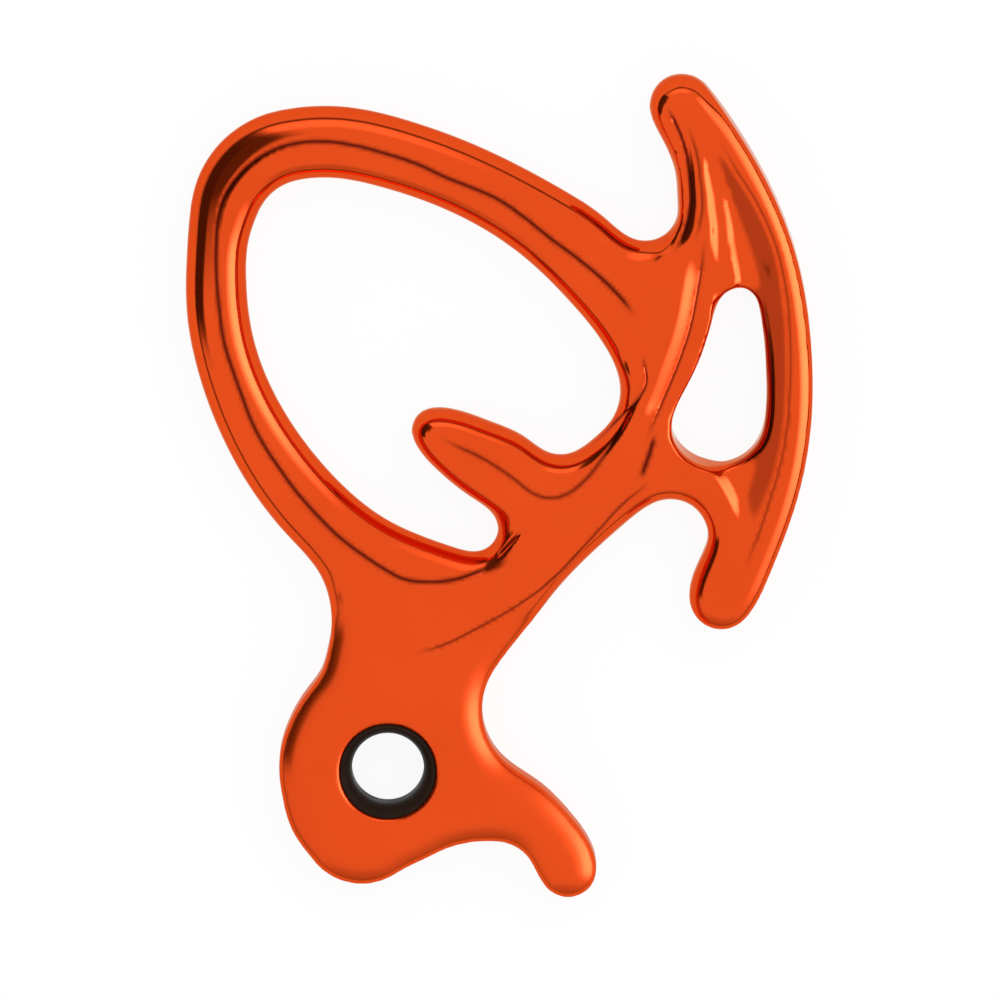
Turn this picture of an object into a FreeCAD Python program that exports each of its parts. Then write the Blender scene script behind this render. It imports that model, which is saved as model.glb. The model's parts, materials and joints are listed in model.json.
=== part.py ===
import FreeCAD, Part
import math
import os

# A figure-eight style descender with rope horns: a one-piece forged alloy body,
# and a bush pressed into its carabiner eye. Millimetres and degrees.
# The plate lies flat with +Z square to it and +Y from the eye towards the ring.
# The origin is the centre of the eye, on the forging's middle plane.

# Forged body
body_width = 113.0
body_height = 150.8
body_thickness = 12.0

# Edge rounding of the forging, largest where the rope bears
ring_edge_round = 4.5
notch_edge_round = 3.5
tongue_edge_round = 3.0
horn_edge_round = 3.0
plate_edge_round = 4.0
tail_edge_round = 3.9

# Most that a rounding takes of the thickness, of the wall it is on, and of a turn's radius
thickness_share = 0.45
wall_share = 0.44
turn_share = 0.85

# Turns of the outer outline
horn_tip_radius = 5.8
crotch_radius = 5.8
outer_shoulder_radius = 20.0
neck_radius = 18.0
foot_radius = 11.0
hollow_radius = 19.5
tail_crook_radius = 7.6
tail_tip_radius = 5.2
waist_radius = 13.4
fork_radius = 6.9
hook_tip_radius = 5.8

# Turns of the ring's opening, where the tongue stands between two notches
heel_radius = 9.7
inner_shoulder_radius = 9.7
lower_notch_radius = 4.3
tongue_tip_radius = 4.0
upper_notch_radius = 5.8

# Window through the web, between the stem and the horn's bow
window_top_radius = 3.7
window_foot_radius = 8.5
window_edge_round = 1.2

# Recess sunk into both faces round the window, which leaves a thin web
web_thickness = 5.0
recess_edge_round = 0.8
recess_foot_round = 1.0
recess_tip_radius = 1.3
recess_corner_radius = 3.0

# Groove between the stem's ridge and the window's rim
groove_depth = 1.0
groove_radius = 1.7

# Fine crease along the lower side of the stem
crease_depth = 0.3
crease_radius = 0.9

# Carabiner eye and its bush, whose bore narrows to a short true lip half way through
eye_wall = 11.1
eye_bore_radius = 8.6
eye_edge_round = 0.9
bead_height = 0.5
bead_width = 2.4
bush_clearance = 0.03
bush_recess = 0.9
lip_bore_radius = 6.5
lip_length = 3.0
mouth_wall = 0.5

# Cutting tools start this much off the faces and run on past them,
# and points nearer than the touch are taken as one
tool_lift = 0.03
overrun = 2.0
touch = 0.003

# Places along each edge where its room for a rounding is measured,
# and sweeps that settle the slopes of a free curve
room_steps = 6
slope_sweeps = 40

Vector = FreeCAD.Vector
half_thickness = body_thickness / 2
upward = Vector(0, 0, 1)
middle = Vector(0, 0, 0)

# One turn of an outline: its centre as shares of the body's width and height,
# its radius, the two angles of its arc, the edge rounding there,
# and the points, as shares too, that the free curve to the next turn passes.
outer_shares = [
    ((0.468, 0.804), horn_tip_radius, 40, 200, horn_edge_round,
     [(0.435, 0.767), (0.458, 0.724)]),
    ((0.411, 0.678), crotch_radius, 5, -105, horn_edge_round,
     [(0.348, 0.667), (0.273, 0.705), (0.162, 0.749), (0.033, 0.786), (-0.072, 0.803)]),
    ((-0.138, 0.668), outer_shoulder_radius, 102, 156, ring_edge_round,
     [(-0.319, 0.642), (-0.321, 0.556), (-0.297, 0.466), (-0.236, 0.360), (-0.164, 0.285)]),
    ((-0.249, 0.178), neck_radius, 26, -14, ring_edge_round,
     [(-0.105, 0.119), (-0.131, 0.091)]),
    ((0.000, 0.000), eye_bore_radius + eye_wall, 158, 190, plate_edge_round,
     [(-0.155, -0.073)]),
    ((-0.042, -0.068), foot_radius, 218, 305, plate_edge_round,
     [(0.070, -0.106)]),
    ((0.156, -0.218), hollow_radius, 114, 92, tail_edge_round,
     []),
    ((0.171, -0.139), tail_crook_radius, 66, 24, tail_edge_round,
     []),
    ((0.288, -0.123), tail_tip_radius, 217, 360, tail_edge_round,
     [(0.326, -0.097), (0.292, -0.059), (0.238, -0.019)]),
    ((0.269, 0.072), waist_radius, 220, 149, plate_edge_round,
     [(0.210, 0.161), (0.288, 0.232), (0.377, 0.296)]),
    ((0.451, 0.281), fork_radius, 118, 12, horn_edge_round,
     [(0.496, 0.250)]),
    ((0.532, 0.209), hook_tip_radius, 178, 318, horn_edge_round,
     [(0.610, 0.238), (0.652, 0.325), (0.675, 0.416), (0.676, 0.509), (0.652, 0.622),
      (0.594, 0.729), (0.529, 0.807)]),
]

ring_shares = [
    ((0.285, 0.458), heel_radius, -38, 8, ring_edge_round,
     [(0.348, 0.510), (0.292, 0.565), (0.205, 0.628), (0.099, 0.676), (-0.017, 0.707),
      (-0.092, 0.717)]),
    ((-0.126, 0.651), inner_shoulder_radius, 101, 158, ring_edge_round,
     [(-0.220, 0.644), (-0.225, 0.597), (-0.212, 0.517), (-0.164, 0.432), (-0.091, 0.358),
      (0.003, 0.299), (0.061, 0.279), (0.098, 0.269)]),
    ((0.138, 0.290), lower_notch_radius, 260, 388, notch_edge_round,
     [(0.131, 0.330), (0.083, 0.359)]),
    ((0.073, 0.410), tongue_tip_radius, 202, 104, tongue_edge_round,
     [(0.117, 0.433), (0.176, 0.417), (0.216, 0.403)]),
    ((0.276, 0.418), upper_notch_radius, 241, 296, notch_edge_round,
     [(0.326, 0.398)]),
]

window_shares = [
    ((0.559, 0.562), window_top_radius, 10, 155, window_edge_round,
     [(0.511, 0.530), (0.483, 0.476)]),
    ((0.525, 0.425), window_foot_radius, 205, 345, window_edge_round,
     [(0.604, 0.464), (0.600, 0.522)]),
]

recess_shares = [
    ((0.513, 0.748), recess_tip_radius, 30, 175, recess_edge_round,
     [(0.517, 0.716), (0.527, 0.678), (0.534, 0.635), (0.538, 0.592), (0.530, 0.544),
      (0.508, 0.489)]),
    ((0.477, 0.402), recess_corner_radius, 165, 262, recess_edge_round,
     [(0.517, 0.354), (0.545, 0.324), (0.560, 0.295)]),
    ((0.570, 0.256), recess_tip_radius, 190, 338, recess_edge_round,
     [(0.605, 0.321), (0.623, 0.385), (0.630, 0.446), (0.630, 0.507), (0.618, 0.587),
      (0.595, 0.654), (0.553, 0.715)]),
]

# Lines of the groove and the crease, each point with its depth as a share of the deepest
groove_shares = [
    ((0.507, 0.676), -0.400),
    ((0.508, 0.644), 0.300),
    ((0.503, 0.604), 0.900),
    ((0.487, 0.545), 1.000),
    ((0.462, 0.487), 1.000),
    ((0.444, 0.436), 0.800),
    ((0.436, 0.404), 0.200),
    ((0.433, 0.380), -0.400),
]

crease_shares = [
    ((0.020, 0.136), -0.400),
    ((0.072, 0.151), 0.400),
    ((0.131, 0.175), 1.000),
    ((0.205, 0.209), 1.000),
    ((0.263, 0.240), 1.000),
    ((0.322, 0.284), 1.000),
    ((0.372, 0.327), 1.000),
    ((0.399, 0.357), 0.400),
    ((0.414, 0.383), -0.400),
]


def place(shares):
    return Vector(shares[0] * body_width, shares[1] * body_height, 0)


def on_turn(centre, radius, angle):
    bearing = math.radians(angle)
    return centre + Vector(math.cos(bearing), math.sin(bearing), 0) * radius


def heading(start, end, angle):
    # Direction of travel along a turn that goes from one angle to the other
    bearing = math.radians(angle)
    along = Vector(-math.sin(bearing), math.cos(bearing), 0)
    return along if end > start else -along


def free_curve(through, leaving, arriving):
    # Cubic curve through the points with an even bend, set headings and a steady pace
    spans = [(there - here).Length for here, there in zip(through, through[1:])]
    slopes = [leaving] * len(spans) + [arriving]
    for sweep in range(slope_sweeps):
        for index in range(1, len(spans)):
            before, after = spans[index - 1], spans[index]
            back = (through[index] - through[index - 1]) * (after / before)
            ahead = (through[index + 1] - through[index]) * (before / after)
            pull = (back + ahead) * 3 - slopes[index - 1] * after - slopes[index + 1] * before
            slopes[index] = pull * (0.5 / (before + after))
    poles = [through[0]]
    knots = [0.0]
    for index, span in enumerate(spans):
        poles.append(through[index] + slopes[index] * (span / 3))
        poles.append(through[index + 1] - slopes[index + 1] * (span / 3))
        poles.append(through[index + 1])
        knots.append(knots[-1] + span)
    joins = len(spans) - 1
    curve = Part.BSplineCurve()
    curve.buildFromPolesMultsKnots(poles, [4] + [3] * joins + [4], knots, False, 3)
    for index in range(2, joins + 2):
        curve.removeKnot(index, 1, touch)
    return curve


def outline(turns):
    # Closed run of true arcs, joined without corners by free curves
    edges = []
    for index, (centre, radius, start, end, rounding, points) in enumerate(turns):
        hub = place(centre)
        arc = Part.Arc(
            on_turn(hub, radius, start),
            on_turn(hub, radius, (start + end) / 2),
            on_turn(hub, radius, end),
        )
        edges.append(arc.toShape())
        next_centre, next_radius, next_start, next_end = turns[(index + 1) % len(turns)][:4]
        through = [on_turn(hub, radius, end)]
        through += [place(point) for point in points]
        through.append(on_turn(place(next_centre), next_radius, next_start))
        leaving = heading(start, end, end)
        arriving = heading(next_start, next_end, next_start)
        edges.append(free_curve(through, leaving, arriving).toShape())
    return Part.Wire(edges)


def plan(outlines):
    # Flat face inside the first outline, with the others as holes through it
    wires = [outline(turns) for turns in outlines]
    return Part.makeFace(wires, "Part::FaceMakerBullseye")


def slab(outlines, low, high):
    face = plan(outlines)
    face.translate(upward * low)
    return face.extrude(upward * (high - low))


def lies_at(edge, level):
    ends = [vertex.Z for vertex in edge.Vertexes]
    half_way = edge.valueAt((edge.FirstParameter + edge.LastParameter) / 2)
    return all(abs(z - level) < touch for z in ends + [half_way.z])


def room_at(face, edge, along):
    # Room for a rounding at one point of an edge, from the wall behind it and its own bend
    spot = edge.valueAt(along)
    inward = edge.tangentAt(along).cross(upward)
    if not face.isInside(spot + inward * tool_lift, touch, True):
        inward = -inward
    probe = Part.makeLine(spot + inward * tool_lift, spot + inward * body_width)
    wall = min(probe.common(face).Edges, key=lambda part: (part.CenterOfMass - spot).Length)
    room = min(wall.Length * wall_share, body_thickness * thickness_share)
    if edge.curvatureAt(along) * body_width > turn_share:
        to_centre = edge.centerOfCurvatureAt(along) - spot
        if to_centre.dot(inward) > 0:
            room = min(room, to_centre.Length * turn_share)
    return room


def room_along(face, edge):
    span = edge.LastParameter - edge.FirstParameter
    places = [edge.FirstParameter + span * step / room_steps for step in range(room_steps + 1)]
    return min(room_at(face, edge, along) for along in places)


def turn_roundings(turn_lists):
    # Rounding at both ends of each arc, no larger than the edges that meet there have room for
    face = plan(turn_lists)
    rooms = [(edge, room_along(face, edge)) for edge in face.Edges]
    marks = []
    for centre, radius, start, end, rounding, points in sum(turn_lists, []):
        for angle in (start, end):
            mark = on_turn(place(centre), radius, angle)
            meeting = [
                room for edge, room in rooms
                if any((vertex.Point - mark).Length < tool_lift for vertex in edge.Vertexes)
            ]
            marks.append((mark, min(meeting + [rounding])))
    return marks


def round_both_faces(solid, turn_lists):
    # The rounding runs evenly from one turn's value to the next turn's
    marks = turn_roundings(turn_lists)

    def rounding_at(point):
        spot = Vector(point.x, point.y, 0)
        return min(marks, key=lambda mark: (mark[0] - spot).Length)[1]

    rims = []
    for number, edge in enumerate(solid.Edges, start=1):
        if lies_at(edge, half_thickness) or lies_at(edge, -half_thickness):
            first = edge.valueAt(edge.FirstParameter)
            last = edge.valueAt(edge.LastParameter)
            rims.append((number, rounding_at(first), rounding_at(last)))
    sheet = FreeCAD.newDocument()
    base = sheet.addObject("Part::Feature", "forging")
    base.Shape = solid
    rounded = sheet.addObject("Part::Fillet", "rounded_forging")
    rounded.Base = base
    rounded.Edges = rims
    sheet.recompute()
    shape = rounded.Shape.copy()
    FreeCAD.closeDocument(sheet.Name)
    return shape


def cutter(turns, floor, edge_round, foot_round):
    # A plug of the outline that flares at the face, so the edge it cuts is rounded
    face_level = half_thickness + tool_lift
    reach = body_width + body_height
    cover = Part.makeBox(
        reach * 2, reach * 2, overrun, Vector(-reach, -reach, face_level)
    )
    plug = cover.fuse(slab([turns], floor, face_level)).removeSplitter().Solids[0]
    flare = [
        edge for edge in plug.Edges
        if lies_at(edge, face_level) and not isinstance(edge.Curve, Part.Line)
    ]
    plug = plug.makeFillet(edge_round, flare)
    if foot_round > 0:
        foot = [edge for edge in plug.Edges if lies_at(edge, floor)]
        plug = plug.makeFillet(foot_round, foot)
    return plug


def channel_cutter(points, radius, depth):
    # A round bar along the line, which lifts out of the face at both ends
    line = []
    for shares, depth_share in points:
        rise = half_thickness + radius - depth * depth_share
        line.append(place(shares) + upward * rise)
    spine = Part.BSplineCurve()
    spine.interpolate(Points=line)
    route = spine.toShape()
    start = route.valueAt(route.FirstParameter)
    facing = route.tangentAt(route.FirstParameter)
    rim = Part.Wire(Part.makeCircle(radius, start, facing))
    return Part.Wire(route).makePipeShell([rim], True, True)


def cut_both_faces(solid, tool):
    # The two faces of the forging mirror each other
    for side in (tool, tool.mirror(middle, upward)):
        solid = solid.cut(side)
    return solid


def chain(points):
    # Straight edges from each point to the next
    return [Part.LineSegment(here, there).toShape() for here, there in zip(points, points[1:])]


def eye_cutter():
    # Bore with a groove for the bush's bead, and rounded mouths
    face_level = half_thickness + tool_lift
    seat_half = bead_width / 2 + bush_clearance
    seat_radius = eye_bore_radius + bead_height
    slant = eye_edge_round * (1 - math.sqrt(0.5))
    lip = Vector(eye_bore_radius, 0, face_level - eye_edge_round)
    bend = Vector(eye_bore_radius + slant, 0, face_level - slant)
    brim = Vector(eye_bore_radius + eye_edge_round, 0, face_level)
    edges = chain([
        middle,
        Vector(seat_radius, 0, 0),
        Vector(seat_radius, 0, seat_half - bead_height),
        Vector(eye_bore_radius, 0, seat_half),
        lip,
    ])
    edges.append(Part.Arc(lip, bend, brim).toShape())
    edges += chain([
        brim,
        brim + upward * overrun,
        Vector(0, 0, face_level + overrun),
        middle,
    ])
    return Part.Face(Part.Wire(edges)).revolve(middle, upward, 360)


def make_forged_body():
    body = slab([outer_shares, ring_shares], -half_thickness, half_thickness)
    body = round_both_faces(body, [outer_shares, ring_shares])
    recess = cutter(recess_shares, web_thickness / 2, recess_edge_round, recess_foot_round)
    window = cutter(window_shares, -half_thickness - overrun, window_edge_round, 0)
    groove = channel_cutter(groove_shares, groove_radius, groove_depth)
    crease = channel_cutter(crease_shares, crease_radius, crease_depth)
    for tool in (recess, window, groove, crease, eye_cutter()):
        body = cut_both_faces(body, tool)
    return body.Solids[0]


def level_mirror(point):
    return Vector(point.x, point.y, -point.z)


def make_eye_bush():
    # Each mouth of the bore swells out of the lip along one arc
    outer = eye_bore_radius - bush_clearance
    half_length = half_thickness - bush_recess
    half_lip = lip_length / 2
    half_bead = bead_width / 2
    rise = half_length - half_lip
    spread = outer - mouth_wall - lip_bore_radius
    swell_radius = (spread * spread + rise * rise) / (2 * spread)
    half_angle = math.asin(rise / swell_radius) / 2
    sweep = Vector(1 - math.cos(half_angle), 0, math.sin(half_angle)) * swell_radius
    lip = Vector(lip_bore_radius, 0, half_lip)
    swell = lip + sweep
    mouth = Vector(lip_bore_radius + spread, 0, half_length)
    upper = [
        mouth,
        Vector(outer, 0, half_length),
        Vector(outer, 0, half_bead),
        Vector(outer + bead_height, 0, half_bead - bead_height),
    ]
    upper_edges = chain(upper) + [Part.Arc(lip, swell, mouth).toShape()]
    lower_edges = [edge.mirror(middle, upward) for edge in upper_edges]
    joins = chain([level_mirror(lip), lip]) + chain([level_mirror(upper[-1]), upper[-1]])
    section = Part.Face(Part.Wire(Part.__sortEdges__(upper_edges + lower_edges + joins)))
    return section.revolve(middle, upward, 360)


os.makedirs("parts", exist_ok=True)
pieces = {
    "forged_body": make_forged_body(),
    "eye_bush": make_eye_bush(),
}
for name, shape in pieces.items():
    shape.exportStep("parts/" + name + ".step")
    size = shape.BoundBox
    print(
        name,
        "valid" if shape.isValid() else "not valid",
        len(shape.Solids), "solid",
        round(shape.Volume, 1), "mm3",
        round(size.XLength, 2), round(size.YLength, 2), round(size.ZLength, 2),
    )
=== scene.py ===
import bmesh
import bpy
import json
import math
from mathutils import Matrix, Vector
from mathutils.bvhtree import BVHTree
from mathutils.geometry import intersect_point_line

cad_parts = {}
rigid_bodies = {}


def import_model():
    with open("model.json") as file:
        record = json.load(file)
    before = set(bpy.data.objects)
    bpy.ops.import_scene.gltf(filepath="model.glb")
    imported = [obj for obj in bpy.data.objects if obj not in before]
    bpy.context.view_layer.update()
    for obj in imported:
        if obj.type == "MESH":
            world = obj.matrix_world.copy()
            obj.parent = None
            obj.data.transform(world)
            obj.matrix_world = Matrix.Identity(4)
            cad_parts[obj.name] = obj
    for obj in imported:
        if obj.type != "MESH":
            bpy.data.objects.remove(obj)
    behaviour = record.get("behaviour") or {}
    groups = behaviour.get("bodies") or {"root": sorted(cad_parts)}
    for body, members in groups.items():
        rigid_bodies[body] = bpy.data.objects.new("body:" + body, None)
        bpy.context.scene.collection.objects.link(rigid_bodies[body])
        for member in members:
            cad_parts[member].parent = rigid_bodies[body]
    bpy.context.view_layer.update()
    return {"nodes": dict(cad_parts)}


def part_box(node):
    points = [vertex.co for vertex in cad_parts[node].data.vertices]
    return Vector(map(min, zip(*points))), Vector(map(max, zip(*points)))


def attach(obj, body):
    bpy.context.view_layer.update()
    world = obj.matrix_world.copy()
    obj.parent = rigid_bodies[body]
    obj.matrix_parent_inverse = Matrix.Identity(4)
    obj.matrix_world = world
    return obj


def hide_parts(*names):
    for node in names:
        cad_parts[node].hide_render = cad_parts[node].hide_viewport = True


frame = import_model()
print("frame loaded")

mm = 0.001


# shared helpers

def applyModifiers(piece):
    shaped = bpy.data.meshes.new_from_object(
        piece.evaluated_get(bpy.context.evaluated_depsgraph_get()))
    piece.modifiers.clear()
    piece.data = shaped


def pieceFromForm(form, name, material):
    mesh = bpy.data.meshes.new(name)
    form.to_mesh(mesh)
    form.free()
    mesh.shade_smooth()
    mesh.materials.append(material)
    piece = bpy.data.objects.new(name, mesh)
    bpy.context.scene.collection.objects.link(piece)
    return piece


def node(tree, kind, **settings):
    made = tree.nodes.new(kind)
    for key, value in settings.items():
        setattr(made, key, value)
    return made


def effectGroup(name, inputs, outputs):
    group = bpy.data.node_groups.new(name, "ShaderNodeTree")
    for label, kind, value in inputs:
        socket = group.interface.new_socket(name=label, in_out="INPUT", socket_type=kind)
        if value is not None:
            socket.default_value = value
    for label, kind in outputs:
        group.interface.new_socket(name=label, in_out="OUTPUT", socket_type=kind)
    return group, node(group, "NodeGroupInput"), node(group, "NodeGroupOutput")


surfaceBlotches = {
    "cloudDetail": 3.0,
    "grainDetail": 2.0,
    "grainShare": 0.35,  # how much of the grain is added to the clouds
    "spread": (0.45, 0.9),  # part of their sum that runs from the low to the high value
}


def makeBlotchGroup(values):
    # uneven roughness and tone of a tumbled surface: broad clouds over a fine grain
    group, entry, exit = effectGroup(
        "surfaceBlotches",
        [("Vector", "NodeSocketVector", None), ("Cloud Scale", "NodeSocketFloat", 60.0),
         ("Grain Scale", "NodeSocketFloat", 900.0), ("Low", "NodeSocketFloat", 0.1),
         ("High", "NodeSocketFloat", 0.2)],
        [("Value", "NodeSocketFloat"), ("Clouds", "NodeSocketFloat"), ("Grain", "NodeSocketFloat")])
    clouds = node(group, "ShaderNodeTexNoise")
    clouds.inputs["Detail"].default_value = values["cloudDetail"]
    grain = node(group, "ShaderNodeTexNoise")
    grain.inputs["Detail"].default_value = values["grainDetail"]
    mixed = node(group, "ShaderNodeMath", operation="MULTIPLY_ADD")
    mixed.inputs[1].default_value = values["grainShare"]
    spread = node(group, "ShaderNodeMapRange", interpolation_type="SMOOTHSTEP")
    spread.inputs["From Min"].default_value = values["spread"][0]
    spread.inputs["From Max"].default_value = values["spread"][1]
    link = group.links.new
    link(entry.outputs["Vector"], clouds.inputs["Vector"])
    link(entry.outputs["Cloud Scale"], clouds.inputs["Scale"])
    link(entry.outputs["Vector"], grain.inputs["Vector"])
    link(entry.outputs["Grain Scale"], grain.inputs["Scale"])
    link(grain.outputs["Fac"], mixed.inputs[0])
    link(clouds.outputs["Fac"], mixed.inputs[2])
    link(mixed.outputs[0], spread.inputs["Value"])
    link(entry.outputs["Low"], spread.inputs["To Min"])
    link(entry.outputs["High"], spread.inputs["To Max"])
    link(spread.outputs["Result"], exit.inputs["Value"])
    link(clouds.outputs["Fac"], exit.inputs["Clouds"])
    link(grain.outputs["Fac"], exit.inputs["Grain"])
    return group


blotchGroup = makeBlotchGroup(surfaceBlotches)


def placeBlotches(tree, cloudScale, grainScale, low, high):
    coords = node(tree, "ShaderNodeTexCoord")
    blotches = node(tree, "ShaderNodeGroup", node_tree=blotchGroup)
    blotches.inputs["Cloud Scale"].default_value = cloudScale
    blotches.inputs["Grain Scale"].default_value = grainScale
    blotches.inputs["Low"].default_value = low
    blotches.inputs["High"].default_value = high
    tree.links.new(coords.outputs["Object"], blotches.inputs["Vector"])
    return blotches


# forged body

photo = {
    "pixel": 0.1804 * mm,
    "eye": Vector((387.8, 766.5)),  # pixel of the eye's centre
    "tilt": math.radians(11),  # the camera leans this much from square to the plate
    "face": 6.0 * mm,  # level of the face that the lines are read on
}

forgedBody = {
    "voxel": 0.62 * mm,
    "smoothing": 0.5,
    "smoothRounds": 8,
    "topHeight": 5.99 * mm,
    "ringRadius": 6.1 * mm,  # how far in from the outline a face is rounded
    "barRadius": 3.7 * mm,
    "tightRadius": 1.3 * mm,  # beside a line that has a lip
    "bankRound": 0.45 * mm,  # rounding at the foot of the banks
    "bowReach": 4.2 * mm,  # bow and plate slope off over this much to an edge of some height
    "bowEdge": 3.9 * mm,
    "plateReach": 6.0 * mm,
    "plateEdge": 3.3 * mm,
    "ringEnd": 11 * mm,  # the ring's rounding ends this far from its crest line
    "ringBlend": 4 * mm,
    "plateTop": 34 * mm,  # the plate ends this far above the eye's centre
    "bowSide": 54 * mm,  # the bow begins this far right of the eye's centre
    "shapeBlend": 8 * mm,  # run over which the plate and the bow take their own shape
    "carvedBlend": 1.2 * mm,  # width of the soft border of the recess
    "boreRadius": 8.6 * mm,
    "boreRim": 0.9 * mm,  # rounding of the eye's edges
    "windowRim": 1.3 * mm,  # rounding of the window's edges
    "wallReach": 0.5 * mm,  # only nearer than this to an edge do walls stand
    "wallLift": 1.3,  # how much higher on a wall than in the solid a point may lie
    "trueReach": 5.0 * mm,  # how far in from the outline its evening out fades
    "rayLevel": 10 * mm,  # rays down onto the solid start at this level, above all of it
    "leastTop": 0.05 * mm,
    "cutLevel": 0.02 * mm,  # beside the middle plane, where the CAD has facet corners
    "straightAngle": math.radians(0.4),  # bends below this in the cut aren't corners
    "eyeLoop": 9.3 * mm,  # points of the cut this near to the eye's centre are the bore's
    "windowLow": Vector((50.5, 55.0)) * mm,
    "windowHigh": Vector((69.0, 89.0)) * mm,
    "lineReach": 0.62 * mm,  # the mesh is finer this near to a line
    "lineCuts": 2,
    "orange": (0.82, 0.08, 0.01, 1.0),
    "deepOrange": (0.74, 0.064, 0.007, 1.0),
    "edgeTint": (0.84, 0.48, 0.28, 1.0),
    # painted dark reflection: the base colour turns to this along the lines and on the recess's
    # slope
    "paintedReflectionBrown": (0.1, 0.004, 0.0001, 1.0),
    "metallic": 0.94,
    "sheen": 0.1,
    "coat": 0.08,
    "coatRoughness": 0.1,
    "roughLow": 0.07,
    "roughHigh": 0.11,
    "plateSoftness": 0.16,  # how much rougher the eye plate is than the ring
    "softRun": (18 * mm, 55 * mm),  # levels above the eye's centre between which that fades
    "cloudScale": 45.0,
    "grainScale": 1400.0,
    "grainHeight": 0.004 * mm,
    "grainStrength": 0.25,
}

# recess between the horn and the bow: its depth runs out to nothing at both tips
recess = {
    "depth": (2.85 * mm, 2.1 * mm),  # above the window, and beside it
    "bowSlope": 5.0 * mm,  # width of the slope down from the bow's crest
    "hornWall": (1.4 * mm, 4.6 * mm),  # width of the wall down from the horn, tip and middle
    "stepShare": 0.33,  # share of the wall's width that each of its two steps takes
    "ledgeWall": 2.9 * mm,
    "upperRun": (34, 205),  # photograph rows in which it gets its depth, and loses it again
    "lowerRun": (475, 600),
    "hornWallRun": (110, 240),  # rows in which the wall widens
    "windowRun": (255, 310),  # rows in which the depth changes beside the window
    "paintedDarkness": 0.5,  # how dark the painted reflection on the bow's slope is
    "paintedDarknessFrom": (0.22, 0.4),  # its lean towards the horn, where the painted dark reflection begins and is full
    "bowCrest": [(714, 140), (723, 150), (736, 172), (755, 202), (773, 241), (782, 273),
                 (788, 312), (790, 358), (789, 400), (785, 440), (778, 473), (771, 496),
                 (759, 533), (750, 556), (744, 578)],
    "hornEdge": [(693, 122), (699, 152), (704, 188), (708, 220), (710, 250), (716, 284)],
    "ledge": [(704, 468), (722, 496), (732, 521), (738, 550), (742, 578)],
}

# lines of the forging, read off the photograph in pixels: depth, width on each side, how far
# its ends fade, how dark the painted reflection along it is, its run, and for some the broad banks
# that lead down to it; the grooves are real shallow dips, their dark colour is painted
fineLines = {
    "ringCrest": {
        "depth": 0.16 * mm, "left": 0.7 * mm, "right": 0.7 * mm, "fade": 4 * mm, "paintedDarkness": 1.0,
        "run": [(497, 564), (483, 571), (466, 577), (447, 581), (426, 582), (404, 579),
                (386, 570), (366, 557), (343, 540), (320, 518), (296, 491), (280, 469),
                (266, 448), (253, 424), (243, 398), (234, 373), (225, 344), (220, 310),
                (217, 272), (217, 243), (219, 220), (225, 199), (237, 180), (252, 165),
                (273, 152), (296, 145), (323, 143), (350, 146), (386, 155), (419, 166),
                (447, 179), (470, 188), (499, 201), (525, 219), (550, 239), (577, 259),
                (600, 278), (621, 299), (636, 318)]},
    "tongueRidge": {
        "depth": 0.14 * mm, "left": 0.6 * mm, "right": 0.6 * mm, "fade": 7 * mm, "paintedDarkness": 0.8,
        "run": [(436, 435), (456, 446), (476, 455), (495, 466), (514, 479), (529, 491),
                (539, 496), (552, 498), (567, 494), (581, 484), (594, 470), (604, 456),
                (613, 443), (624, 425), (634, 405), (642, 384)]},
    "hornFlank": {
        "depth": 0.15 * mm, "left": 0.5 * mm, "right": 0.5 * mm, "fade": 4 * mm, "paintedDarkness": 1.0,
        "bank": {"depth": 1.4 * mm, "left": 2.0 * mm, "right": 1.1 * mm, "lip": 2.6 * mm},
        "run": [(665, 106), (674, 124), (682, 143), (687, 165), (689, 188), (689, 210),
                (685, 230), (679, 245), (672, 256)]},
    "hornRib": {
        "depth": 0.15 * mm, "left": 0.4 * mm, "right": 0.5 * mm, "fade": 6 * mm, "paintedDarkness": 0.7,
        "run": [(686, 122), (690, 136), (696, 156), (699, 175), (701, 194), (701, 213),
                (698, 230), (692, 246)]},
    "hornGroove": {
        "depth": 0.15 * mm, "left": 0.45 * mm, "right": 0.45 * mm, "fade": 9 * mm,
        "paintedDarkness": 0.8, "bank": {"depth": 1.8 * mm, "left": 3.5 * mm, "right": 5.5 * mm},
        "run": [(705, 232), (702, 262), (697, 295), (690, 330), (681, 358), (670, 386),
                (656, 418), (642, 448)]},
    "bowCrest": {
        "depth": 0.1 * mm, "left": 0.4 * mm, "right": 0.4 * mm, "fade": 9 * mm, "paintedDarkness": 0.6,
        "run": recess["bowCrest"]},
    "ringSlit": {
        "depth": 0.15 * mm, "left": 0.4 * mm, "right": 0.4 * mm, "fade": 4 * mm, "paintedDarkness": 0.9,
        "bank": {"depth": 0.55 * mm, "left": 1.1 * mm, "right": 0.9 * mm},
        "run": [(641, 352), (645, 368), (646, 384), (640, 397), (629, 410), (608, 433),
                (590, 450)]},
    "footDimple": {
        "depth": 0.2 * mm, "left": 0.8 * mm, "right": 0.8 * mm, "fade": 2 * mm, "paintedDarkness": 1.0,
        "run": [(655, 434), (649, 455), (640, 480)]},
    "notchSlit": {
        "depth": 0.5 * mm, "left": 0.45 * mm, "right": 0.45 * mm, "fade": 2 * mm, "paintedDarkness": 0.9,
        "run": [(522, 532), (514, 540), (505, 550), (495, 561)]},
    "stemCrease": {
        "depth": 0.13 * mm, "left": 0.4 * mm, "right": 0.4 * mm, "fade": 7 * mm, "paintedDarkness": 0.8,
        "run": [(409, 655), (443, 645), (474, 630), (526, 600), (552, 580), (590, 540),
                (623, 504), (655, 478)]},
}


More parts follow.
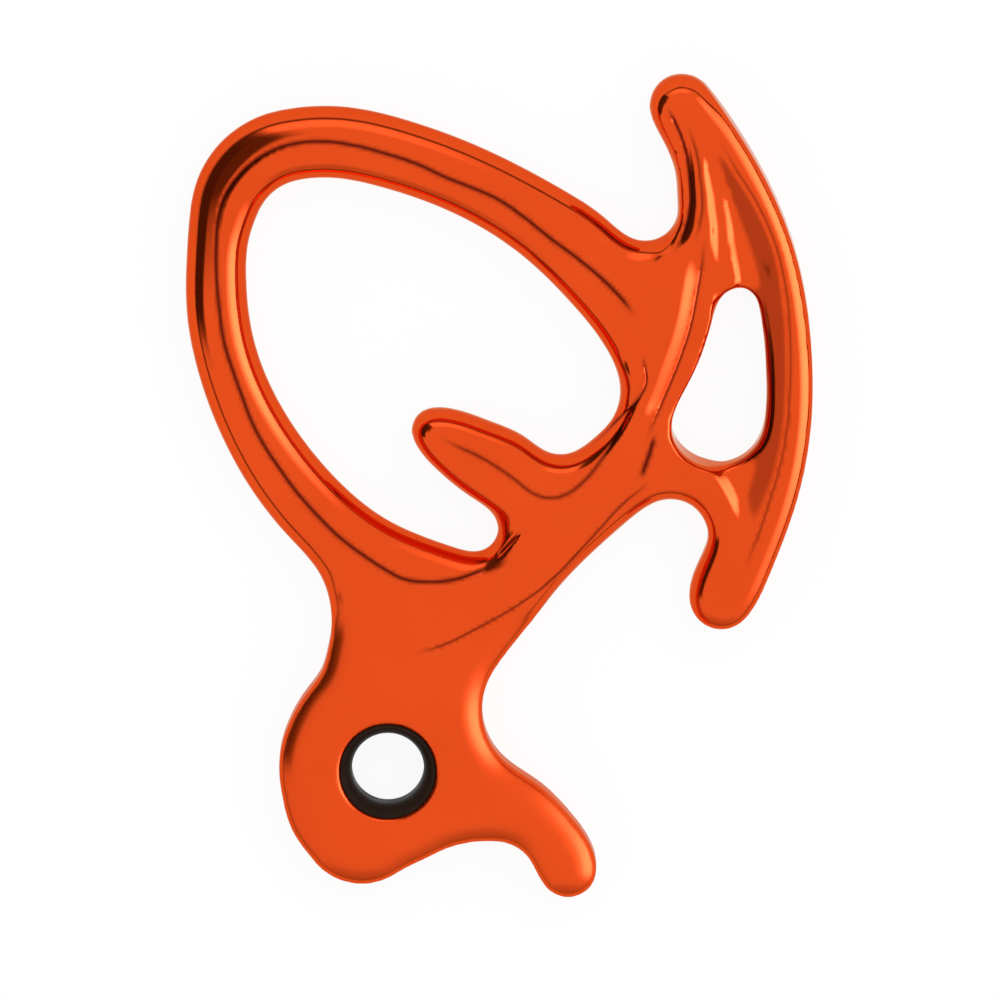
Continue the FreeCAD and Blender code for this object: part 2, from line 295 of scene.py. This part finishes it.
def anodisedOrange(values):
    material = bpy.data.materials.new("anodisedOrange")
    material.use_nodes = True
    tree = material.node_tree
    shader = tree.nodes["Principled BSDF"]
    shader.inputs["Metallic"].default_value = values["metallic"]
    shader.inputs["Specular IOR Level"].default_value = values["sheen"]
    shader.inputs["Coat Weight"].default_value = values["coat"]
    shader.inputs["Coat Roughness"].default_value = values["coatRoughness"]
    shader.inputs["Specular Tint"].default_value = values["edgeTint"]
    blotches = placeBlotches(tree, values["cloudScale"], values["grainScale"],
                             values["roughLow"], values["roughHigh"])
    tone = node(tree, "ShaderNodeMix", data_type="RGBA")
    tone.inputs["A"].default_value = values["deepOrange"]
    tone.inputs["B"].default_value = values["orange"]
    # painted dark reflection: a per-vertex share darkens the base colour along the lines and on the
    # recess's slope
    paintedReflection = node(tree, "ShaderNodeAttribute", attribute_name="paintedReflection")
    shaded = node(tree, "ShaderNodeMix", data_type="RGBA")
    shaded.inputs["B"].default_value = values["paintedReflectionBrown"]
    coords = node(tree, "ShaderNodeTexCoord")
    split = node(tree, "ShaderNodeSeparateXYZ")
    plate = node(tree, "ShaderNodeMapRange", interpolation_type="SMOOTHSTEP")
    plate.inputs["From Min"].default_value = values["softRun"][0]
    plate.inputs["From Max"].default_value = values["softRun"][1]
    plate.inputs["To Min"].default_value = values["plateSoftness"]
    plate.inputs["To Max"].default_value = 0.0
    rough = node(tree, "ShaderNodeMath", operation="ADD")
    bump = node(tree, "ShaderNodeBump")
    bump.inputs["Strength"].default_value = values["grainStrength"]
    bump.inputs["Distance"].default_value = values["grainHeight"]
    link = tree.links.new
    link(blotches.outputs["Clouds"], tone.inputs["Factor"])
    link(paintedReflection.outputs["Fac"], shaded.inputs["Factor"])
    link(tone.outputs["Result"], shaded.inputs["A"])
    link(shaded.outputs["Result"], shader.inputs["Base Color"])
    link(coords.outputs["Object"], split.inputs["Vector"])
    link(split.outputs["Y"], plate.inputs["Value"])
    link(blotches.outputs["Value"], rough.inputs[0])
    link(plate.outputs["Result"], rough.inputs[1])
    link(rough.outputs["Value"], shader.inputs["Roughness"])
    link(blotches.outputs["Grain"], bump.inputs["Height"])
    link(bump.outputs["Normal"], shader.inputs["Normal"])
    return material


def mergedCopy(nodeName):
    form = bmesh.new()
    form.from_mesh(frame["nodes"][nodeName].data)
    bmesh.ops.remove_doubles(form, verts=form.verts, dist=0.001 * mm)
    return form


def onFace(pixel):
    # place on the upper face that the photograph shows at this pixel
    across = (pixel[0] - photo["eye"].x) * photo["pixel"]
    up = (photo["eye"].y - pixel[1]) * photo["pixel"] + photo["face"] * math.sin(photo["tilt"])
    return Vector((across, up / math.cos(photo["tilt"]), 0))


stripHeight = 20 * mm  # of the guide strips, more than the part is thick


def wallsAlong(runs, closed, steps=10):
    # upright strips along smooth curves through the points, to measure level distance from
    line = bpy.data.curves.new("guide", "CURVE")
    line.dimensions = "3D"
    line.resolution_u = steps
    for points in runs:
        spline = line.splines.new("BEZIER")
        spline.bezier_points.add(len(points) - 1)
        for knot, point in zip(spline.bezier_points, points):
            knot.co = point
            knot.handle_left_type = knot.handle_right_type = "AUTO"
        spline.use_cyclic_u = closed
    guide = bpy.data.objects.new("guide", line)
    bpy.context.scene.collection.objects.link(guide)
    traced = bpy.data.meshes.new_from_object(
        guide.evaluated_get(bpy.context.evaluated_depsgraph_get()))
    strip = bmesh.new()
    strip.from_mesh(traced)
    bpy.data.objects.remove(guide)
    rise = Vector((0, 0, stripHeight))
    made = bmesh.ops.extrude_edge_only(strip, edges=strip.edges[:])
    risen = [v for v in made["geom"] if isinstance(v, bmesh.types.BMVert)]
    bmesh.ops.translate(strip, vec=rise, verts=risen)
    bmesh.ops.translate(strip, vec=-rise / 2, verts=strip.verts)
    walls = BVHTree.FromBMesh(strip)
    strip.free()
    return walls


def outlineLoops(form, values):
    # loops on the middle plane: the outline with the ring's opening, and the window
    cut = form.copy()
    everything = cut.verts[:] + cut.edges[:] + cut.faces[:]
    beside = Vector((0, 0, values["cutLevel"]))
    bmesh.ops.bisect_plane(cut, geom=everything, plane_co=beside, plane_no=(0, 0, 1),
                           clear_outer=True, clear_inner=True)
    bmesh.ops.translate(cut, vec=-beside, verts=cut.verts)
    low, high = values["windowLow"], values["windowHigh"]
    inner = [v for v in cut.verts if v.co.length < values["eyeLoop"]]
    bmesh.ops.delete(cut, geom=inner, context="VERTS")
    bmesh.ops.dissolve_limit(cut, angle_limit=values["straightAngle"], verts=cut.verts[:],
                             edges=cut.edges[:])
    loops = {"outline": [], "window": []}
    left = set(cut.verts)
    while left:
        start = here = left.pop()
        loop = [start.co.copy()]
        while True:
            ahead = [e.other_vert(here) for e in here.link_edges if e.other_vert(here) in left]
            if not ahead:
                break
            here = ahead[0]
            left.remove(here)
            loop.append(here.co.copy())
        inWindow = low.x < loop[0].x < high.x and low.y < loop[0].y < high.y
        loops["window" if inWindow else "outline"].append(loop)
    print("outline loops:", {kind: [len(loop) for loop in many] for kind, many in loops.items()})
    cut.free()
    return loops


def remeshAndSmooth(piece, values):
    remesh = piece.modifiers.new("remesh", "REMESH")
    remesh.mode = "VOXEL"
    remesh.voxel_size = values["voxel"]
    remesh.use_smooth_shade = True
    soften = piece.modifiers.new("soften", "SMOOTH")
    soften.factor = values["smoothing"]
    soften.iterations = values["smoothRounds"]
    applyModifiers(piece)


def smoothStep(value):
    share = min(1.0, max(0.0, value))
    return share * share * (3 - 2 * share)


def regionFrom(pixels):
    corners = [onFace(pixel) for pixel in pixels]
    return {"corners": corners,
            "lowX": min(c.x for c in corners), "highX": max(c.x for c in corners),
            "lowY": min(c.y for c in corners), "highY": max(c.y for c in corners)}


def carvedShare(place, region):
    # 1 inside a region, 0 outside, soft at its border
    outline = region["corners"]
    blend = forgedBody["carvedBlend"]
    if not (region["lowX"] - blend < place.x < region["highX"] + blend
            and region["lowY"] - blend < place.y < region["highY"] + blend):
        return 0.0
    inside = False
    nearest = 1.0
    for start, end in zip(outline, outline[1:] + outline[:1]):
        if (start.y > place.y) != (end.y > place.y):
            crossing = start.x + (place.y - start.y) * (end.x - start.x) / (end.y - start.y)
            inside = inside != (place.x < crossing)
        foot, along = intersect_point_line(place, start, end)
        foot = start.lerp(end, min(1.0, max(0.0, along)))
        nearest = min(nearest, (place - foot).length)
    signed = nearest if inside else -nearest
    return smoothStep(0.5 + signed / blend)


def photoRow(place):
    return photo["eye"].y - (place.y * math.cos(photo["tilt"])
                             - photo["face"] * math.sin(photo["tilt"])) / photo["pixel"]


def overRows(row, rows):
    # 0 above these photograph rows, and 1 below them
    return smoothStep((row - rows[0]) / (rows[1] - rows[0]))


def recessDepth(place, hollow, values):
    # how deep the recess is below the faces at this place
    inside = carvedShare(place, hollow["region"])
    if inside == 0.0:
        return 0.0
    row = photoRow(place)
    above, beside = values["depth"]
    depth = above + (beside - above) * overRows(row, values["windowRun"])
    depth *= overRows(row, values["upperRun"]) * (1 - overRows(row, values["lowerRun"]))
    down = min(1.0, hollow["bowCrest"].find_nearest(place)[3] / values["bowSlope"])
    depth *= (down + smoothStep(down)) / 2
    tipWall, fullWall = values["hornWall"]
    hornWall = tipWall + (fullWall - tipWall) * overRows(row, values["hornWallRun"])
    across = hollow["hornEdge"].find_nearest(place)[3] / hornWall
    step = values["stepShare"]
    depth *= (smoothStep(across / step) + smoothStep((across - 1 + step) / step)) / 2
    depth *= smoothStep(hollow["ledge"].find_nearest(place)[3] / values["ledgeWall"])
    return depth * min(1.0, 2 * inside)


def paintedRecessReflection(vertex, hollow, values):
    # painted dark reflection: the bow's slope in the recess is coloured darker where it faces the
    # horn
    begin, full = values["paintedDarknessFrom"]
    facing = smoothStep((-vertex.normal.x - begin) / (full - begin))
    if facing == 0.0:
        return 0.0
    inside = carvedShare(Vector((vertex.co.x, vertex.co.y, 0)), hollow["region"])
    return values["paintedDarkness"] * facing * inside


def makeHollow():
    hollow = {name: wallsAlong([[onFace(pixel) for pixel in recess[name]]], False)
              for name in ("bowCrest", "hornEdge", "ledge")}
    hollow["region"] = regionFrom(
        recess["bowCrest"] + recess["ledge"][::-1] + recess["hornEdge"][::-1])
    return hollow


def makeLines():
    lines = []
    for item in fineLines.values():
        run = [onFace(pixel) for pixel in item["run"]]
        lines.append(dict(
            item, ends=(run[0].xy, run[-1].xy), walls=wallsAlong([run], False),
            low=Vector((min(p.x for p in run), min(p.y for p in run))),
            high=Vector((max(p.x for p in run), max(p.y for p in run)))))
    return lines


def intoLine(place, line, left, right, rounding=0.0):
    # 1 on a line and 0 beyond its borders, and a share that fades to 0 at its ends
    reach = max(left, right)
    if not (line["low"].x - reach < place.x < line["high"].x + reach
            and line["low"].y - reach < place.y < line["high"].y + reach):
        return 0.0, 0.0
    foot, normal, index, distance = line["walls"].find_nearest(place, reach)
    if foot is None:
        return 0.0, 0.0
    distance = math.hypot(distance, rounding) - rounding
    fade = min(smoothStep((place.xy - end).length / line["fade"]) for end in line["ends"])
    return max(0.0, 1 - distance / (left if place.x < foot.x else right)), fade


def roundBars(piece, loops, solid, hollow, lines, values):
    # evens the outline from the facets' chords to a smooth curve, and gives the faces the
    # height of a rounded bar by their distance from the outline, less the recess and the banks
    chords = wallsAlong(loops["outline"], True, 1)
    curves = wallsAlong(loops["outline"], True)
    ring = wallsAlong([[onFace(pixel) for pixel in fineLines["ringCrest"]["run"]]], False)
    banked = [line for line in lines if "bank" in line]
    top = values["topHeight"]
    down = Vector((0, 0, -1))
    window = wallsAlong(loops["window"], True)
    for vertex in piece.data.vertices:
        onChord, normal, index, distance = chords.find_nearest(vertex.co)
        shift = curves.find_nearest(onChord)[0] - onChord
        above = Vector((vertex.co.x, vertex.co.y, values["rayLevel"]))
        hit = solid.ray_cast(above, down)[0]
        cadTop = max(hit.z if hit else abs(vertex.co.z), values["leastTop"])
        vertex.co += shift * math.exp(-(distance / values["trueReach"]) ** 2)
        distance = curves.find_nearest(vertex.co)[3]
        level = Vector((vertex.co.x, vertex.co.y, 0))
        ringAway = ring.find_nearest(level)[3]
        onRing = smoothStep((values["ringEnd"] - ringAway) / values["ringBlend"])
        onPlate = smoothStep((values["plateTop"] - level.y) / values["shapeBlend"])
        onBow = smoothStep((level.x - values["bowSide"]) / values["shapeBlend"])
        radius = values["barRadius"] + (values["ringRadius"] - values["barRadius"]) * onRing
        for line in banked:
            if "lip" in line["bank"]:
                into, fade = intoLine(level, line, line["bank"]["lip"], line["bank"]["lip"])
                radius += (values["tightRadius"] - radius) * smoothStep(2 * into) * fade
        rise = 1 - min(distance / radius, 1.0)
        height = top * math.sqrt(1 - rise * rise)
        for amount, kind in ((onPlate, "plate"), (onBow, "bow")):
            rise = 1 - min(distance / values[kind + "Reach"], 1.0)
            sloped = top - (top - values[kind + "Edge"]) * rise * rise
            height += (sloped - height) * amount * (1 - onRing)
        height -= recessDepth(level, hollow, recess)
        for line in banked:
            bank = line["bank"]
            into, fade = intoLine(level, line, bank["left"], bank["right"], values["bankRound"])
            height -= bank["depth"] * into * into * (2 - into) * fade  # begins softly
        windowAway = window.find_nearest(level)[3]
        boreAway = max(level.length - values["boreRadius"], 0.0)
        for away, rim in ((windowAway, values["windowRim"]), (boreAway, values["boreRim"])):
            turn = 1 - min(away / rim, 1.0)
            height -= rim * (1 - math.sqrt(1 - turn * turn))
        share = 1.0
        if min(distance, windowAway, boreAway) < values["wallReach"]:
            share = min(1.0, values["wallLift"] * abs(vertex.co.z) / cadTop)
        vertex.co.z = math.copysign(share * height, vertex.co.z)


def cutFineLines(piece, lines, hollow, values):
    form = bmesh.new()
    form.from_mesh(piece.data)
    # painted dark reflection, kept per vertex: the recess's slope and the lines are coloured darker
    shade = form.verts.layers.float.new("paintedReflection")
    lineReach = values["lineReach"]
    wallTop = photo["face"] / 3  # nearer than this to the middle plane no line is cut
    onFaces = [v for v in form.verts if abs(v.co.z) > wallTop]
    band = {v for v in onFaces
            if any(intoLine(v.co, line, lineReach, lineReach)[0] > 0 for line in lines)}
    edges = [e for e in form.edges if e.verts[0] in band and e.verts[1] in band]
    bmesh.ops.subdivide_edges(form, edges=edges, cuts=values["lineCuts"], use_grid_fill=True)
    form.normal_update()
    for v in form.verts:
        if abs(v.co.z) < wallTop:
            continue
        v[shade] = paintedRecessReflection(v, hollow, recess)
        for line in lines:
            into, fade = intoLine(v.co, line, line["left"], line["right"])
            dip = smoothStep(into) * fade
            v.co.z -= math.copysign(line["depth"] * dip, v.co.z)
            # painted dark reflection along the line, on top of its real dip
            v[shade] = max(v[shade], dip * line["paintedDarkness"])
    form.to_mesh(piece.data)
    form.free()


def makeForgedBody(values):
    form = mergedCopy("forged_body")
    loops = outlineLoops(form, values)
    solid = BVHTree.FromBMesh(form)
    piece = pieceFromForm(form, "forgedBody", anodisedOrange(values))
    hollow = makeHollow()
    lines = makeLines()
    remeshAndSmooth(piece, values)
    roundBars(piece, loops, solid, hollow, lines, values)
    remeshAndSmooth(piece, values)
    cutFineLines(piece, lines, hollow, values)
    piece.data.shade_smooth()
    print("forged body:", sum(len(p.vertices) - 2 for p in piece.data.polygons), "triangles")
    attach(piece, "root")
    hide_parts("forged_body")


makeForgedBody(forgedBody)


# eye bush

eyeBush = {
    "black": (0.014, 0.0075, 0.005, 1.0),
    "greyBlack": (0.026, 0.015, 0.01, 1.0),
    "sheen": 0.02,
    "roughLow": 0.3,
    "roughHigh": 0.42,
    "cloudScale": 180.0,
    "grainScale": 2600.0,
    "grainHeight": 0.01 * mm,
    "grainStrength": 0.4,
}


def mouldedBlack(values):
    material = bpy.data.materials.new("mouldedBlack")
    material.use_nodes = True
    tree = material.node_tree
    shader = tree.nodes["Principled BSDF"]
    shader.inputs["Specular IOR Level"].default_value = values["sheen"]
    blotches = placeBlotches(tree, values["cloudScale"], values["grainScale"],
                             values["roughLow"], values["roughHigh"])
    tone = node(tree, "ShaderNodeMix", data_type="RGBA")
    tone.inputs["A"].default_value = values["black"]
    tone.inputs["B"].default_value = values["greyBlack"]
    bump = node(tree, "ShaderNodeBump")
    bump.inputs["Strength"].default_value = values["grainStrength"]
    bump.inputs["Distance"].default_value = values["grainHeight"]
    link = tree.links.new
    link(blotches.outputs["Clouds"], tone.inputs["Factor"])
    link(tone.outputs["Result"], shader.inputs["Base Color"])
    link(blotches.outputs["Value"], shader.inputs["Roughness"])
    link(blotches.outputs["Grain"], bump.inputs["Height"])
    link(bump.outputs["Normal"], shader.inputs["Normal"])
    return material


bushMaterial = mouldedBlack(eyeBush)
frame["nodes"]["eye_bush"].data.materials.clear()
frame["nodes"]["eye_bush"].data.materials.append(bushMaterial)


# studio

studio = {
    "floorSize": 12.0,
    "floorPaper": (0.92, 0.92, 0.92, 1),
    "floorShadow": 0.08,  # share of the floor's white that lamps and shadows make
    "lensDistance": 5.0,
    "lensClip": (0.1, 50),
    "tilt": photo["tilt"],
    "aim": Vector((20.24, 48.98, 0)) * mm,
    "frameWidth": 180.4 * mm,
    "sensor": 36.0,
}

# soft cards that only reflections see: bearing round +Z from +X, angle down from +Z, width and
# height, distance, level of its middle, how strongly that covers what is behind it, the share
# of its half width from which it fades, its tint, and the place it faces if not the aim
cards = {
    "rightCard": {"bearing": 0, "polar": 74, "size": (3.2, 2.5), "distance": 2.0,
                  "level": 5.2, "cover": 1.0, "soft": 0.2, "tint": (1.0, 1.0, 1.8, 1.0)},
    "topCard": {"bearing": 92, "polar": 66, "size": (2.6, 1.3), "distance": 2.1,
                "level": 1.7, "cover": 1.0, "soft": 0.4, "tint": (1.0, 0.95, 1.2, 1.0)},
    "nearCard": {"bearing": 268, "polar": 76, "size": (3.2, 1.5), "distance": 2.0,
                 "level": 0.3, "cover": 0.5, "soft": 0.3, "tint": (1.0, 1.0, 1.0, 1.0)},
    "ringCard": {"bearing": 168, "polar": 72, "size": (0.54, 0.29), "distance": 0.33,
                 "level": 0.01, "cover": 1.0, "soft": 0.68, "tint": (1.0, 1.0, 1.0, 1.0),
                 "at": Vector((-30, 105, 0)) * mm},
    "hornCard": {"bearing": 170, "polar": 66, "size": (0.14, 0.16), "distance": 0.12,
                 "level": 0.02, "cover": 0.95, "soft": 0.4, "tint": (1.0, 1.0, 1.0, 1.0),
                 "at": Vector((48, 120, 0)) * mm},
}

# lamps that light matt surfaces and the floor
lamps = {
    "keyLamp": {"bearing": 60, "polar": 35, "size": (1.2, 1.2), "distance": 2.0, "power": 9.0},
}

horizon = {
    "radius": 1.6,
    "height": 0.23,
    "level": 0.2,
    "segments": 96,
}


def standPlace(item):
    # location and rotation of a panel that faces the object from its bearing
    bearing, polar = math.radians(item["bearing"]), math.radians(item["polar"])
    out = Vector((math.cos(bearing) * math.sin(polar), math.sin(bearing) * math.sin(polar),
                  math.cos(polar)))
    across = Vector((-math.sin(bearing), math.cos(bearing), 0))
    turn = Matrix((across, out.cross(across), out)).transposed().to_4x4()
    return Matrix.Translation(item.get("at", studio["aim"]) + out * item["distance"]) @ turn


def makeLamp(name, item):
    lamp = bpy.data.lights.new(name, "AREA")
    lamp.shape = "RECTANGLE"
    lamp.size, lamp.size_y = item["size"]
    lamp.energy = item["power"]
    stand = bpy.data.objects.new(name, lamp)
    stand.matrix_world = standPlace(item)
    stand.visible_camera = False
    stand.visible_glossy = False
    bpy.context.scene.collection.objects.link(stand)


def stageReflected(form, name, material):
    # only reflections see it
    card = pieceFromForm(form, name, material)
    card.visible_camera = False
    card.visible_diffuse = False
    card.visible_shadow = False
    return card


def softCardMaterial(name, item):
    # level in the middle, fading to see-through at the card's borders
    material = bpy.data.materials.new(name)
    material.use_nodes = True
    tree = material.node_tree
    tree.nodes.clear()
    link = tree.links.new
    coords = node(tree, "ShaderNodeTexCoord")
    split = node(tree, "ShaderNodeSeparateXYZ")
    link(coords.outputs["Object"], split.inputs["Vector"])
    cover = None
    for axis, length in zip("XY", item["size"]):
        far = node(tree, "ShaderNodeMath", operation="ABSOLUTE")
        fall = node(tree, "ShaderNodeMapRange", interpolation_type="SMOOTHSTEP")
        fall.inputs["From Min"].default_value = 0.5 * length * item["soft"]
        fall.inputs["From Max"].default_value = 0.5 * length
        fall.inputs["To Min"].default_value = 1.0 if cover is None else item["cover"]
        fall.inputs["To Max"].default_value = 0.0
        link(split.outputs[axis], far.inputs[0])
        link(far.outputs[0], fall.inputs["Value"])
        if cover is None:
            cover = fall.outputs["Result"]
        else:
            both = node(tree, "ShaderNodeMath", operation="MULTIPLY")
            link(cover, both.inputs[0])
            link(fall.outputs["Result"], both.inputs[1])
            cover = both.outputs[0]
    glow = node(tree, "ShaderNodeEmission")
    glow.inputs["Color"].default_value = item["tint"]
    glow.inputs["Strength"].default_value = item["level"]
    clear = node(tree, "ShaderNodeBsdfTransparent")
    mixed = node(tree, "ShaderNodeMixShader")
    out = node(tree, "ShaderNodeOutputMaterial")
    link(cover, mixed.inputs[0])
    link(clear.outputs[0], mixed.inputs[1])
    link(glow.outputs[0], mixed.inputs[2])
    link(mixed.outputs[0], out.inputs["Surface"])
    return material


def makeCard(name, item):
    form = bmesh.new()
    bmesh.ops.create_grid(form, x_segments=1, y_segments=1, size=0.5)
    bmesh.ops.scale(form, vec=(item["size"][0], item["size"][1], 1), verts=form.verts)
    card = stageReflected(form, name, softCardMaterial(name, item))
    card.matrix_world = standPlace(item)


def makeHorizon(values):
    # low grey band right round the table
    material = bpy.data.materials.new("greyBand")
    material.use_nodes = True
    tree = material.node_tree
    tree.nodes.clear()
    glow = node(tree, "ShaderNodeEmission")
    glow.inputs["Strength"].default_value = values["level"]
    out = node(tree, "ShaderNodeOutputMaterial")
    tree.links.new(glow.outputs[0], out.inputs["Surface"])
    form = bmesh.new()
    bmesh.ops.create_cone(form, cap_ends=False, segments=values["segments"],
                          radius1=values["radius"], radius2=values["radius"],
                          depth=values["height"])
    bmesh.ops.translate(form, vec=(0, 0, values["height"] / 2), verts=form.verts)
    stageReflected(form, "horizonBand", material)


def seenDirectly(tree):
    # 1 for camera, glossy and transmission rays
    path = node(tree, "ShaderNodeLightPath")
    total = path.outputs["Is Camera Ray"]
    for ray in ("Is Glossy Ray", "Is Transmission Ray"):
        both = node(tree, "ShaderNodeMath", operation="MAXIMUM")
        tree.links.new(total, both.inputs[0])
        tree.links.new(path.outputs[ray], both.inputs[1])
        total = both.outputs[0]
    return total


def makeFloor(values):
    material = bpy.data.materials.new("paleFloor")
    material.use_nodes = True
    tree = material.node_tree
    tree.nodes.clear()
    paper = node(tree, "ShaderNodeBsdfDiffuse")
    paper.inputs["Color"].default_value = values["floorPaper"]
    glow = node(tree, "ShaderNodeEmission")
    glow.inputs["Color"].default_value = (1, 1, 1, 1)
    mixed = node(tree, "ShaderNodeMixShader")
    share = node(tree, "ShaderNodeMath", operation="MULTIPLY")
    share.inputs[1].default_value = 1 - values["floorShadow"]
    out = node(tree, "ShaderNodeOutputMaterial")
    link = tree.links.new
    link(seenDirectly(tree), share.inputs[0])
    link(share.outputs[0], mixed.inputs[0])
    link(paper.outputs[0], mixed.inputs[1])
    link(glow.outputs[0], mixed.inputs[2])
    link(mixed.outputs[0], out.inputs["Surface"])
    form = bmesh.new()
    bmesh.ops.create_grid(form, x_segments=1, y_segments=1, size=values["floorSize"] / 2)
    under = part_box("forged_body")[0].z
    bmesh.ops.translate(form, vec=(0, 0, under), verts=form.verts)
    floor = pieceFromForm(form, "floor", material)


def makeWorld():
    world = bpy.data.worlds.new("whiteRoom")
    bpy.context.scene.world = world
    world.use_nodes = True
    back = world.node_tree.nodes["Background"]
    back.inputs["Color"].default_value = (1, 1, 1, 1)
    back.inputs["Strength"].default_value = 1.0


def makeCamera(values):
    lens = bpy.data.cameras.new("camera")
    lens.sensor_width = values["sensor"]
    lens.lens = values["sensor"] * values["lensDistance"] / values["frameWidth"]
    lens.clip_start, lens.clip_end = values["lensClip"]
    camera = bpy.data.objects.new("camera", lens)
    away = Vector((0, math.sin(values["tilt"]), math.cos(values["tilt"])))
    camera.location = values["aim"] + away * values["lensDistance"]
    camera.rotation_euler = (-values["tilt"], 0, 0)
    bpy.context.scene.collection.objects.link(camera)
    bpy.context.scene.camera = camera


bpy.context.scene.view_settings.view_transform = "Standard"
for name, item in lamps.items():
    makeLamp(name, item)
for name, item in cards.items():
    makeCard(name, item)
makeHorizon(horizon)
makeFloor(studio)
makeWorld()
makeCamera(studio)
print("studio set")
